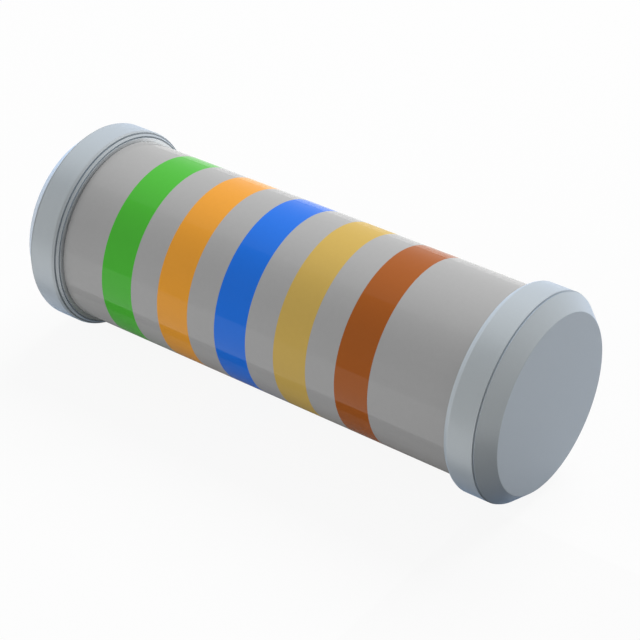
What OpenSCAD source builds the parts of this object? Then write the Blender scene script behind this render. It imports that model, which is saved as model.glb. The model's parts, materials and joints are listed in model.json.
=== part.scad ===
// Leadless cylindrical film resistor, as it lies when it is soldered to a board.
// Its axis runs along X at half a cap's height, and its lowest line lies on the plane z = 0.
// Sizes are in millimetres.

/* [Overall] */
// Length over the two end faces
total_length = 5.95; // [5.4:0.05:6.6]

/* [End caps] */
// Outer diameter of a cap
cap_d = 2.2; // [2:0.05:2.6]
// Length of a cap from its end face to its open rim
cap_length = 0.535; // [0.45:0.005:0.7]
// Thickness of a cap's side wall
cap_wall = 0.2; // [0.15:0.01:0.3]
// Thickness of a cap's end wall
cap_end_wall = 0.2; // [0.15:0.01:0.3]
// Length of the bevel round the end face, along the axis
bevel_length = 0.17; // [0.05:0.01:0.25]
// Depth of the bevel round the end face, across the axis
bevel_depth = 0.155; // [0.05:0.005:0.25]
// Length of the small bevel round the open rim, along the axis
rim_bevel_length = 0.035; // [0.01:0.005:0.1]
// Depth of the small bevel round the open rim, across the axis
rim_bevel_depth = 0.05; // [0.01:0.005:0.08]
// Radial clearance between a cap and the film that it is pressed on
cap_clearance = 0; // [0:0.005:0.02]

/* [Ceramic rod] */
// Size of the bevel that breaks the rod's end edges
rod_edge = 0.05; // [0.02:0.01:0.1]

/* [Resistive film] */
// Thickness of the metal film on the rod
film_thickness = 0.03; // [0.03:0.005:0.06]
// Number of turns of the spiral cut that trims the film to its resistance
trim_turns = 5; // [2:1:8]
// Width of the spiral cut, along the axis
trim_width = 0.05; // [0.03:0.01:0.1]
// Uncut film between each cap's rim and the spiral cut
trim_margin = 0.5; // [0.2:0.05:1]

/* [Lacquer coat] */
// Thickness of the lacquer over the film
coat_thickness = 0.1; // [0.07:0.01:0.14]

/* [Colour bands] */
// Width of a colour band
band_width = 0.4; // [0.25:0.01:0.5]
// Distance from one band's edge to the same edge of the next band
band_pitch = 0.753; // [0.6:0.001:0.8]
// Bare coat between the left cap's rim and the first band
band_margin = 0.547; // [0.3:0.001:0.6]
// Depth of a band's ink in the coat
ink_depth = 0.03; // [0.03:0.005:0.05]

/* [Hidden] */

left = -1;
right = 1;
band_count = 5;

axis_height = cap_d / 2;
bore_d = cap_d - 2 * cap_wall;
face_d = cap_d - 2 * bevel_depth;
rim_d = cap_d - 2 * rim_bevel_depth;
film_d = bore_d - 2 * cap_clearance;
rod_d = film_d - 2 * film_thickness;
coat_d = film_d + 2 * coat_thickness;
ink_d = coat_d - 2 * ink_depth;

rim_x = total_length / 2 - cap_length;
rod_length = total_length - 2 * cap_end_wall;
film_length = rod_length - 2 * rod_edge;
coat_length = 2 * rim_x;
trim_length = coat_length - 2 * trim_margin;
trim_pitch = trim_length / trim_turns;
trim_angle = 360 * trim_width / trim_pitch;

// Cutting shapes run past what they cut by this much
past = 0.1;
slices_per_turn = 24;
$fn = 96;

// Puts a shape that is drawn along +Z on the resistor's axis, turned towards one of its ends
module on_axis(x, end = right) {
    translate([x, 0, axis_height]) rotate([0, end * 90, 0]) children();
}

// A round tube, centred on the middle of its length
module tube(outer_d, inner_d, length) {
    difference() {
        cylinder(d = outer_d, h = length, center = true);
        cylinder(d = inner_d, h = length + past, center = true);
    }
}

// Half of a cap's section: a cup with its rim at the origin's height and its end face on top
module cap_outline() {
    difference() {
        polygon([
            [0, 0], [rim_d / 2, 0], [cap_d / 2, rim_bevel_length],
            [cap_d / 2, cap_length - bevel_length],
            [face_d / 2, cap_length], [0, cap_length]
        ]);
        translate([0, -past]) square([bore_d / 2, cap_length - cap_end_wall + past]);
    }
}

module cap(end) {
    on_axis(end * rim_x, end) rotate_extrude() cap_outline();
}

function band_x(index) = band_margin - rim_x + band_width / 2 + index * band_pitch;

// One printed ring, flush with the outside of the coat
module ink_ring(index) {
    on_axis(band_x(index)) tube(coat_d, ink_d, band_width);
}

// The shallow seat that a printed ring leaves in the coat
module ink_seat(index) {
    on_axis(band_x(index)) tube(coat_d + past, ink_d, band_width);
}

// The space of the spiral cut: a thin wedge that turns as it runs along the axis
module trim_cut() {
    on_axis(0)
        linear_extrude(
            height = trim_length, center = true, twist = -360 * trim_turns,
            slices = trim_turns * slices_per_turn, segments = 3
        )
            polygon([
                [0, 0],
                film_d * [cos(trim_angle / 2), -sin(trim_angle / 2)],
                film_d * [cos(trim_angle / 2), sin(trim_angle / 2)]
            ]);
}

// White ceramic rod that carries the film
module ceramic_rod() {
    color("ivory") on_axis(0) {
        cylinder(d = rod_d, h = film_length, center = true);
        for (end = [left, right])
            rotate([0, end * 90 - 90, 0]) translate([0, 0, film_length / 2])
                cylinder(d1 = rod_d, d2 = rod_d - 2 * rod_edge, h = rod_edge);
    }
}

// Metal film on the rod, trimmed by the spiral cut
module resistive_film() {
    color("dimgray") difference() {
        on_axis(0) tube(film_d, rod_d, film_length);
        trim_cut();
    }
}

// Tinned steel cups, pressed on over the film at both ends
module left_cap() {
    color("silver") cap(left);
}

module right_cap() {
    color("silver") cap(right);
}

// Grey lacquer between the caps, with a seat for each printed ring
module lacquer_coat() {
    color("gray") difference() {
        on_axis(0) tube(coat_d, film_d, coat_length);
        for (index = [0 : band_count - 1]) ink_seat(index);
    }
}

module green_band() {
    color("forestgreen") ink_ring(0);
}

module orange_band() {
    color("darkorange") ink_ring(1);
}

module blue_band() {
    color("royalblue") ink_ring(2);
}

module gold_band() {
    color("goldenrod") ink_ring(3);
}

module brown_band() {
    color("saddlebrown") ink_ring(4);
}

ceramic_rod();
resistive_film();
left_cap();
right_cap();
lacquer_coat();
green_band();
orange_band();
blue_band();
gold_band();
brown_band();
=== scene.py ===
import json
import math

import bpy
import numpy as np
from mathutils import Matrix, Vector

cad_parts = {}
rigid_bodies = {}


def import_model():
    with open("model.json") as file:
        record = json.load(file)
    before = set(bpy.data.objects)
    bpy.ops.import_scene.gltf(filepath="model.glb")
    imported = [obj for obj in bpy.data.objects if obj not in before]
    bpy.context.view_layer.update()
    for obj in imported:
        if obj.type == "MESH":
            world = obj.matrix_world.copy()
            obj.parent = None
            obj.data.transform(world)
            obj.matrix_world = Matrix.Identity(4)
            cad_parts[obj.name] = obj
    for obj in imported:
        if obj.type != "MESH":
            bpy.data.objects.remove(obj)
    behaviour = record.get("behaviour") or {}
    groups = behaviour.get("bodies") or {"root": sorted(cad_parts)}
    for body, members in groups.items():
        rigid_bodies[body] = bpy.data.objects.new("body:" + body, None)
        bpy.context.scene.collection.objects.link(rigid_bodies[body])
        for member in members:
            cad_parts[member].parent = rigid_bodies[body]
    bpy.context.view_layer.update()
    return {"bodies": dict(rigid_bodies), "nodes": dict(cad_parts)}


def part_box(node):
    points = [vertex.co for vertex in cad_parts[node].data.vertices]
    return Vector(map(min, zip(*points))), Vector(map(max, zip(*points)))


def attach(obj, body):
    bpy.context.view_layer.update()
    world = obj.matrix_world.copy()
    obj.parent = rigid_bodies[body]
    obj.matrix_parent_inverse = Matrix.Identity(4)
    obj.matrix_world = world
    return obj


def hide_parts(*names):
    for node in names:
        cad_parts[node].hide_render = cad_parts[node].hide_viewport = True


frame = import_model()

# Ceramic rod. A fired alumina rod with broken end edges that carries the film and both caps.
# The lacquer and the caps close it in, so its exact solid stays and only gets its fine matt grain.
MM = 0.001


def add_grain_group():
    """Node group: cloudy noise, centred on 0, that tints a colour, shifts a roughness and gives a height."""
    group = bpy.data.node_groups.new("fine_grain", "ShaderNodeTree")
    sockets = group.interface
    sockets.new_socket("Color", in_out="INPUT", socket_type="NodeSocketColor")
    for name, value in (("Grain Size", 0.1 * MM), ("Tint", 0.05), ("Roughness", 0.4), ("Rough Shift", 0.05)):
        socket = sockets.new_socket(name, in_out="INPUT", socket_type="NodeSocketFloat")
        socket.default_value = value
    sockets.new_socket("Color", in_out="OUTPUT", socket_type="NodeSocketColor")
    sockets.new_socket("Roughness", in_out="OUTPUT", socket_type="NodeSocketFloat")
    sockets.new_socket("Height", in_out="OUTPUT", socket_type="NodeSocketFloat")

    nodes, links = group.nodes, group.links
    given = nodes.new("NodeGroupInput")
    result = nodes.new("NodeGroupOutput")
    place = nodes.new("ShaderNodeTexCoord")
    frequency = nodes.new("ShaderNodeMath")
    frequency.operation = "DIVIDE"
    frequency.inputs[0].default_value = 1
    noise = nodes.new("ShaderNodeTexNoise")
    noise.inputs["Detail"].default_value = 3
    centred = nodes.new("ShaderNodeMath")
    centred.operation = "SUBTRACT"
    centred.inputs[1].default_value = 0.5
    brightness = nodes.new("ShaderNodeMath")
    brightness.operation = "MULTIPLY_ADD"
    brightness.inputs[2].default_value = 1
    tinted = nodes.new("ShaderNodeVectorMath")
    tinted.operation = "SCALE"
    rough = nodes.new("ShaderNodeMath")
    rough.operation = "MULTIPLY_ADD"

    links.new(given.outputs["Grain Size"], frequency.inputs[1])
    links.new(place.outputs["Object"], noise.inputs["Vector"])
    links.new(frequency.outputs[0], noise.inputs["Scale"])
    links.new(noise.outputs["Fac"], centred.inputs[0])
    links.new(centred.outputs[0], brightness.inputs[0])
    links.new(given.outputs["Tint"], brightness.inputs[1])
    links.new(given.outputs["Color"], tinted.inputs[0])
    links.new(brightness.outputs[0], tinted.inputs["Scale"])
    links.new(centred.outputs[0], rough.inputs[0])
    links.new(given.outputs["Rough Shift"], rough.inputs[1])
    links.new(given.outputs["Roughness"], rough.inputs[2])
    links.new(tinted.outputs[0], result.inputs["Color"])
    links.new(rough.outputs[0], result.inputs["Roughness"])
    links.new(centred.outputs[0], result.inputs["Height"])
    return group


fine_grain = add_grain_group()


def grained_material(name, colour, grain_size, tint, roughness, rough_shift, relief):
    """A Principled material whose colour, roughness and relief follow the fine grain.

    Returns the material and its shader.
    """
    material = bpy.data.materials.new(name)
    material.use_nodes = True
    nodes, links = material.node_tree.nodes, material.node_tree.links
    shader = nodes["Principled BSDF"]
    grain = nodes.new("ShaderNodeGroup")
    grain.node_tree = fine_grain
    grain.inputs["Color"].default_value = (*colour, 1)
    grain.inputs["Grain Size"].default_value = grain_size
    grain.inputs["Tint"].default_value = tint
    grain.inputs["Roughness"].default_value = roughness
    grain.inputs["Rough Shift"].default_value = rough_shift
    bump = nodes.new("ShaderNodeBump")
    bump.inputs["Strength"].default_value = 1
    bump.inputs["Distance"].default_value = relief
    links.new(grain.outputs["Color"], shader.inputs["Base Color"])
    links.new(grain.outputs["Roughness"], shader.inputs["Roughness"])
    links.new(grain.outputs["Height"], bump.inputs["Height"])
    links.new(bump.outputs["Normal"], shader.inputs["Normal"])
    return material, shader


def refinish(node, material):
    """Puts a material on a CAD node that stays as it is."""
    mesh = frame["nodes"][node].data
    mesh.materials.clear()
    mesh.materials.append(material)


alumina, _ = grained_material(
    "alumina", colour=(0.85, 0.83, 0.78), grain_size=0.03 * MM, tint=0.08,
    roughness=0.6, rough_shift=0.1, relief=0.0008 * MM,
)
refinish("ceramic_rod", alumina)

# Resistive film. Nickel-chromium sputtered on the rod and trimmed by a spiral cut.
# It lies under the caps and the lacquer, so its exact solid stays too.
nickel_chromium, film_shader = grained_material(
    "nickel_chromium", colour=(0.38, 0.37, 0.36), grain_size=0.02 * MM, tint=0.1,
    roughness=0.45, rough_shift=0.1, relief=0.0003 * MM,
)
film_shader.inputs["Metallic"].default_value = 1
refinish("resistive_film", nickel_chromium)

# End caps. Drawn steel cups with a satin tin plating, pressed on over the film at both ends.
# Each has a broad bevel round its end face. At its open rim the wall ends in a rolled lip with a
# fine step below it, and the rim's flat face is burnished by the tool that cut it.
rim, end = (corner.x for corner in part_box("right_cap"))
cap_low, cap_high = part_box("right_cap")
axis_height = (cap_low.z + cap_high.z) / 2
cap_radius = (cap_high.z - cap_low.z) / 2
cap_wall = 0.2 * MM
cap_end_wall = 0.2 * MM
bevel_length = 0.17 * MM
bevel_depth = 0.155 * MM
lip_length = 0.072 * MM
lip_depth = 0.012 * MM
lip_round = 0.03 * MM
step_place = 0.047 * MM
step_width = 0.009 * MM
step_root_depth = 0.035 * MM
step_foot_depth = 0.0275 * MM
rim_bevel_depth = 0.05 * MM
same_point = 1e-6 * MM
score_width = 0.024 * MM
score_depth = 0.018 * MM
face_round = 0.012 * MM
cup_round = 0.05 * MM


def rounded(corners, radii, steps=10, hold=0.1):
    """Rounds each corner of an outline of (x, r) points with an arc of its radius that touches both sides.

    The arc's points lie at even turns about its centre. One more point each side, a share of the radius
    away, keeps the flat sides flat when the mesh is shaded smooth. Corners of radius 0 stay as they are.
    """
    corners = np.asarray(corners, float)
    radii = np.asarray(radii, float)[:, None]
    into = corners - np.roll(corners, 1, axis=0)
    out = np.roll(corners, -1, axis=0) - corners
    into /= np.linalg.norm(into, axis=1, keepdims=True)
    out /= np.linalg.norm(out, axis=1, keepdims=True)
    cross = into[:, :1] * out[:, 1:] - into[:, 1:] * out[:, :1]
    turn = np.arctan2(cross, (into * out).sum(1, keepdims=True))
    start = corners - into * radii * np.tan(abs(turn) / 2)
    finish = corners + out * radii * np.tan(abs(turn) / 2)
    side = np.stack([-into[:, 1], into[:, 0]], axis=1) * np.sign(turn)
    centre = start + side * radii
    swing = turn * np.linspace(0, 1, steps)
    spoke = start - centre
    arc_x = centre[:, :1] + spoke[:, :1] * np.cos(swing) - spoke[:, 1:] * np.sin(swing)
    arc_r = centre[:, 1:] + spoke[:, :1] * np.sin(swing) + spoke[:, 1:] * np.cos(swing)
    arcs = np.stack([arc_x, arc_r], axis=2)
    before = (start - into * radii * hold)[:, None]
    after = (finish + out * radii * hold)[:, None]
    points = np.concatenate([before, arcs, after], axis=1).reshape(-1, 2)
    apart = np.linalg.norm(points - np.roll(points, 1, axis=0), axis=1)
    return points[apart > same_point]


def scored(before, corner, after):
    """Three points that cut a fine V-shaped line into a corner, as turning and rolling leave at an edge.

    Its lips lie half a score width along each side, and its bottom a score depth in from the corner.
    """
    before, corner, after = (np.asarray(point, float) for point in (before, corner, after))
    to_before = (before - corner) / np.linalg.norm(before - corner)
    to_after = (after - corner) / np.linalg.norm(after - corner)
    inward = (to_before + to_after) / np.linalg.norm(to_before + to_after)
    return [
        tuple(corner + to_before * score_width / 2),
        tuple(corner + inward * score_depth),
        tuple(corner + to_after * score_width / 2),
    ]


def revolve(name, outline, around=240, crease=math.radians(30)):
    """Turns an outline of (x, r) points about the resistor's axis into a closed smooth mesh.

    A point goes to (x, r cos t, axis height + r sin t). An outline that starts and ends on the axis gets
    a single vertex at each of those poles, and any other outline closes on itself. Edges that turn by
    more than the crease angle stay sharp.
    """
    turn = 2 * np.pi * np.arange(around) / around
    poled = outline[0, 1] < same_point
    rings = outline[1:-1] if poled else outline
    x = np.repeat(rings[:, :1], around, axis=1)
    y = rings[:, 1:] * np.cos(turn)
    z = axis_height + rings[:, 1:] * np.sin(turn)
    points = np.stack([x, y, z], axis=2).reshape(-1, 3)
    here = np.arange(len(points)).reshape(-1, around)
    ahead = np.roll(here, -1, axis=1)
    if poled:
        quads = np.stack([here[:-1], ahead[:-1], ahead[1:], here[1:]], axis=2).reshape(-1, 4)
        first, last = len(points), len(points) + 1
        poles = [(outline[0, 0], 0, axis_height), (outline[-1, 0], 0, axis_height)]
        points = np.concatenate([points, poles])
        fan_in = np.stack([np.full(around, first), ahead[0], here[0]], axis=1)
        fan_out = np.stack([here[-1], ahead[-1], np.full(around, last)], axis=1)
        faces = quads.tolist() + fan_in.tolist() + fan_out.tolist()
    else:
        above, above_ahead = np.roll(here, -1, axis=0), np.roll(ahead, -1, axis=0)
        faces = np.stack([here, ahead, above_ahead, above], axis=2).reshape(-1, 4).tolist()
    mesh = bpy.data.meshes.new(name)
    mesh.from_pydata(points.tolist(), [], faces)
    mesh.shade_smooth()
    mesh.set_sharp_from_angle(angle=crease)
    piece = bpy.data.objects.new(name, mesh)
    bpy.context.collection.objects.link(piece)
    return piece


def finish_piece(piece, node, material):
    """Dresses a piece that stands for a CAD node, and lets it ride on the resistor's one body."""
    piece.data.materials.append(material)
    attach(piece, next(iter(frame["bodies"])))
    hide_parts(node)


tin, tin_shader = grained_material(
    "satin_tin", colour=(0.345, 0.372, 0.384), grain_size=0.02 * MM, tint=0.06,
    roughness=0.4, rough_shift=0.1, relief=0.0004 * MM,
)
tin_shader.inputs["Metallic"].default_value = 0.2
tin_shader.inputs["Sheen Weight"].default_value = 0.33
tin_shader.inputs["Sheen Roughness"].default_value = 0.5
tin_shader.inputs["Sheen Tint"].default_value = (0.2, 0.5, 1, 1)
rim_corner = (rim, cap_radius - rim_bevel_depth)
wall_start = (rim + lip_length, cap_radius)
step_edge = (rim + step_place, cap_radius - lip_depth)
step_root = (rim + step_place, cap_radius - step_root_depth)
step_foot = (rim + step_place - step_width, cap_radius - step_foot_depth)
wall_stop = (end - bevel_length, cap_radius)
face_edge = (end, cap_radius - bevel_depth)
inner_rim = (rim, cap_radius - cap_wall)
inner_corner = (end - cap_end_wall, cap_radius - cap_wall)
cap_corners = [
    (end - cap_end_wall, 0),
    inner_corner,
    inner_rim,
    *scored(inner_rim, rim_corner, step_foot),
    step_foot,
    step_root,
    step_edge,
    wall_start,
    *scored(wall_start, wall_stop, face_edge),
    face_edge,
    (end, 0),
]
corner_rounds = {inner_corner: cup_round, wall_start: lip_round, face_edge: face_round}
cap_outline = rounded(cap_corners, [corner_rounds.get(corner, 0) for corner in cap_corners])
right_cup = revolve("right_cap_cup", cap_outline)
left_cup = revolve("left_cap_cup", cap_outline[::-1] * (-1, 1))

burnished, burnished_shader = grained_material(
    "burnished_rim", colour=(0.66, 0.69, 0.71), grain_size=0.02 * MM, tint=0.05,
    roughness=0.3, rough_shift=0.08, relief=0.0002 * MM,
)
burnished_shader.inputs["Metallic"].default_value = 1
for cup, node in ((right_cup, "right_cap"), (left_cup, "left_cap")):
    finish_piece(cup, node, tin)
    cup.data.materials.append(burnished)
    centres = np.empty(3 * len(cup.data.polygons))
    cup.data.polygons.foreach_get("center", centres)
    on_rim = abs(abs(centres[::3]) - rim) < same_point
    cup.data.polygons.foreach_set("material_index", on_rim.astype(np.int32))

# Lacquer coat. A hard grey lacquer, dipped on between the caps and cured to an even gloss.
# Its ends butt against the caps' rims, and it has a shallow seat for each printed ring.
coat_low, coat_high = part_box("lacquer_coat")
coat_radius = (coat_high.z - coat_low.z) / 2
coat_bore = cap_radius - cap_wall
coat_round = 0.006 * MM
full_gloss = 0.65
ink_depth = 0.03 * MM
BANDS = ("green", "orange", "blue", "gold", "brown")


def lacquered(name, colour, gloss=full_gloss):
    """A coloured layer under the thin clear gloss that covers the whole body."""
    material, shader = grained_material(
        name, colour, grain_size=0.05 * MM, tint=0.05,
        roughness=0.5, rough_shift=0.08, relief=0.0002 * MM,
    )
    shader.inputs["Specular IOR Level"].default_value = 0
    shader.inputs["Coat Weight"].default_value = gloss
    shader.inputs["Coat Roughness"].default_value = 0.06
    shader.inputs["Coat IOR"].default_value = 1.3
    return material


seat_edges = [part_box(band + "_band") for band in BANDS]
seat_corners = [
    corner
    for low, high in seat_edges
    for corner in (
        (low.x, coat_radius),
        (low.x, coat_radius - ink_depth),
        (high.x, coat_radius - ink_depth),
        (high.x, coat_radius),
    )
]
coat_outline = rounded(
    [(coat_low.x, coat_bore), (coat_low.x, coat_radius)]
    + seat_corners
    + [(coat_high.x, coat_radius), (coat_high.x, coat_bore)],
    radii=[0, coat_round] + [0] * len(seat_corners) + [coat_round, 0],
)
coat = revolve("grey_lacquer_coat", coat_outline)
finish_piece(coat, "lacquer_coat", lacquered("grey_lacquer", (0.285, 0.285, 0.285)))

# Colour bands. Five printed rings of ink, flush in the coat under the same clear gloss.
# From the far cap they are green, orange, blue, gold and brown. The gloss lies thinner on the gold.
gold_gloss = 0.35
INK = {
    "green": (0.054, 0.338, 0.030),
    "orange": (0.570, 0.245, 0.028),
    "blue": (0.012, 0.120, 0.530),
    "gold": (0.425, 0.292, 0.075),
    "brown": (0.270, 0.074, 0.013),
}
for band, (low, high) in zip(BANDS, seat_edges):
    inner, outer = coat_radius - ink_depth, coat_radius
    ring_outline = np.array([(low.x, inner), (low.x, outer), (high.x, outer), (high.x, inner)])
    ring = revolve(band + "_ink_ring", ring_outline)
    ink = lacquered(band + "_ink", INK[band], gold_gloss if band == "gold" else full_gloss)
    finish_piece(ring, band + "_band", ink)

# Camera. It looks from the front right and above, as the photograph does, with a long lens.
# It aims a little beside the resistor's middle, where the photograph's centre lies.
camera_azimuth = math.radians(37.04)
camera_elevation = math.radians(33.27)
camera_distance = 22.336 * MM
aim_right = 0.1569 * MM
aim_up = -0.1714 * MM
right = Vector((math.cos(camera_azimuth), math.sin(camera_azimuth), 0))
back = Vector((
    math.sin(camera_azimuth) * math.cos(camera_elevation),
    -math.cos(camera_azimuth) * math.cos(camera_elevation),
    math.sin(camera_elevation),
))
up = back.cross(right)
camera_place = Vector((0, 0, axis_height)) + right * aim_right + up * aim_up + back * camera_distance
camera_data = bpy.data.cameras.new("camera")
camera_data.sensor_width = 36
camera_data.lens = 122.16
camera_data.clip_start = 1 * MM
camera_data.clip_end = 1000 * MM
camera = bpy.data.objects.new("camera", camera_data)
camera.matrix_world = Matrix.Translation(camera_place) @ Matrix((right, up, back)).transposed().to_4x4()
bpy.context.collection.objects.link(camera)
bpy.context.scene.camera = camera

# Floor. A plain white sheet under the resistor, which keeps a faint soft shadow.
# Light Path lifts it towards white for the camera, and gloss sees it as white paper under the lamps.
floor_reach = 400 * MM
paper_white = 0.5
paper_white_in_gloss = 0.7
glow_share = 0.92


def add_sheet(name, corners):
    """A flat four-cornered piece of the stage."""
    mesh = bpy.data.meshes.new(name)
    mesh.from_pydata(corners, [], [(0, 1, 2, 3)])
    sheet = bpy.data.objects.new(name, mesh)
    bpy.context.collection.objects.link(sheet)
    return sheet


floor = add_sheet("floor", [
    (-floor_reach, -floor_reach, 0), (floor_reach, -floor_reach, 0),
    (floor_reach, floor_reach, 0), (-floor_reach, floor_reach, 0),
])
paper = bpy.data.materials.new("white_paper")
paper.use_nodes = True
paper.cycles.emission_sampling = "NONE"
nodes, links = paper.node_tree.nodes, paper.node_tree.links
lit = nodes["Principled BSDF"]
lit.inputs["Roughness"].default_value = 1
lit.inputs["Specular IOR Level"].default_value = 0
glow = nodes.new("ShaderNodeEmission")
glow.inputs["Strength"].default_value = 1
path = nodes.new("ShaderNodeLightPath")
brightness = nodes.new("ShaderNodeMapRange")
brightness.inputs["To Min"].default_value = paper_white
brightness.inputs["To Max"].default_value = paper_white_in_gloss
seen = nodes.new("ShaderNodeMath")
seen.operation = "MAXIMUM"
share = nodes.new("ShaderNodeMath")
share.operation = "MULTIPLY"
share.inputs[1].default_value = glow_share
mixed = nodes.new("ShaderNodeMixShader")
links.new(path.outputs["Is Glossy Ray"], brightness.inputs["Value"])
links.new(brightness.outputs["Result"], lit.inputs["Base Color"])
links.new(path.outputs["Is Camera Ray"], seen.inputs[0])
links.new(path.outputs["Is Transmission Ray"], seen.inputs[1])
links.new(seen.outputs[0], share.inputs[0])
links.new(share.outputs[0], mixed.inputs["Fac"])
links.new(lit.outputs[0], mixed.inputs[1])
links.new(glow.outputs[0], mixed.inputs[2])
links.new(mixed.outputs[0], nodes["Material Output"].inputs["Surface"])
floor.data.materials.append(paper)

# Light. A large soft panel behind and above, weaker ones beside and in front, and a white room.
# Cards in front, which only gloss sees, paint the reflections along the body. The dark card paints a dark
# reflection of the space in front. A glowing white strip, which is no lamp, paints a line of light. A dark
# strip just in front of the body paints a dark line low on the body. The grey card is a dim glowing sheet
# that diffuse light sees too. It is painted shade that keeps the floor's light off the near end face.


def add_panel(name, place, width, height, power):
    """A soft rectangular lamp of a stated power in watts, turned from its place towards the resistor."""
    data = bpy.data.lights.new(name, "AREA")
    data.shape = "RECTANGLE"
    data.size = width
    data.size_y = height
    data.energy = power
    panel = bpy.data.objects.new(name, data)
    panel.location = place
    panel.rotation_euler = (middle - Vector(place)).to_track_quat("-Z", "Y").to_euler()
    panel.visible_glossy = False
    bpy.context.collection.objects.link(panel)


middle = Vector((0, 0, axis_height))
add_panel(
    "key_panel", place=(0, 58 * MM, 69 * MM),
    width=60 * MM, height=50 * MM, power=0.125,
)
add_panel(
    "left_panel", place=(-60 * MM, -60 * MM, 30 * MM),
    width=50 * MM, height=50 * MM, power=0.027,
)
add_panel(
    "front_panel", place=(-20 * MM, -88 * MM, 12 * MM),
    width=50 * MM, height=20 * MM, power=0.029,
)
add_panel(
    "right_top_panel", place=(45 * MM, 25 * MM, 75 * MM),
    width=50 * MM, height=50 * MM, power=0.007,
)
add_panel(
    "right_panel", place=(85 * MM, -20 * MM, 30 * MM),
    width=40 * MM, height=40 * MM, power=0.003,
)
add_panel(
    "left_end_panel", place=(-90 * MM, 0, 15 * MM),
    width=40 * MM, height=30 * MM, power=0.03,
)


def add_card(name, corners, strength, seen_by_diffuse=False):
    """A glowing card of even brightness, no lamp, that gloss sees, and diffuse light too where stated. It
    paints reflections, and shade where diffuse light sees it.
    """
    card = add_sheet(name, corners)
    card.visible_camera = False
    card.visible_diffuse = seen_by_diffuse
    card.visible_shadow = False
    card.visible_transmission = False
    material = bpy.data.materials.new(name)
    material.use_nodes = True
    material.cycles.emission_sampling = "NONE"
    nodes, links = material.node_tree.nodes, material.node_tree.links
    glow = nodes.new("ShaderNodeEmission")
    glow.inputs["Color"].default_value = (1, 1, 1, 1)
    glow.inputs["Strength"].default_value = strength
    links.new(glow.outputs[0], nodes["Material Output"].inputs["Surface"])
    card.data.materials.append(material)


card_left = -40 * MM
card_right = 3 * MM
card_front = -6 * MM
card_top = 24 * MM
# Painted reflection: a dim card standing in front, seen only by gloss. It paints the dark reflection along
# the front of the body.
add_card("dark_reflection_card", [
    (card_left, card_front, 0), (card_right, card_front, 0),
    (card_right, card_front, card_top), (card_left, card_front, card_top),
], strength=0.3)
strip_height = 0.002 * MM
white_edge = -1.47 * MM
dark_edge = -1.16 * MM
# Painted light: a glowing strip on the floor, seen only by gloss, that paints the line of light along the
# body.
add_card("painted_light_strip", [
    (card_left, card_front, strip_height), (card_right, card_front, strip_height),
    (card_right, white_edge, strip_height), (card_left, white_edge, strip_height),
], strength=1.3)
# Painted reflection: a near-black strip, seen only by gloss, that paints a dark line into the reflections
# low on the body.
add_card("painted_dark_reflection_strip", [
    (card_left, white_edge, strip_height), (card_right, white_edge, strip_height),
    (card_right, dark_edge, strip_height), (card_left, dark_edge, strip_height),
], strength=0.05)
grey_left = 2.6 * MM
grey_right = 5 * MM
grey_back = -0.5 * MM
grey_height = 2 * strip_height
# Painted shade: a dim glowing sheet on the floor beside the near end. Gloss and diffuse light see it, so it
# darkens the near end face and the bevel below it.
add_card("painted_shade_grey_card", [
    (grey_left, card_front, grey_height), (grey_right, card_front, grey_height),
    (grey_right, grey_back, grey_height), (grey_left, grey_back, grey_height),
], strength=0.1, seen_by_diffuse=True)

room_white = 1
room_white_in_diffuse = 0.25
world = bpy.data.worlds.new("white_room")
bpy.context.scene.world = world
world.use_nodes = True
world.cycles.sampling_method = "NONE"
nodes, links = world.node_tree.nodes, world.node_tree.links
room = nodes["Background"]
room.inputs["Color"].default_value = (1, 1, 1, 1)
path = nodes.new("ShaderNodeLightPath")
level = nodes.new("ShaderNodeMapRange")
level.inputs["To Min"].default_value = room_white
level.inputs["To Max"].default_value = room_white_in_diffuse
links.new(path.outputs["Is Diffuse Ray"], level.inputs["Value"])
links.new(level.outputs["Result"], room.inputs["Strength"])

bpy.context.scene.view_settings.view_transform = "Standard"
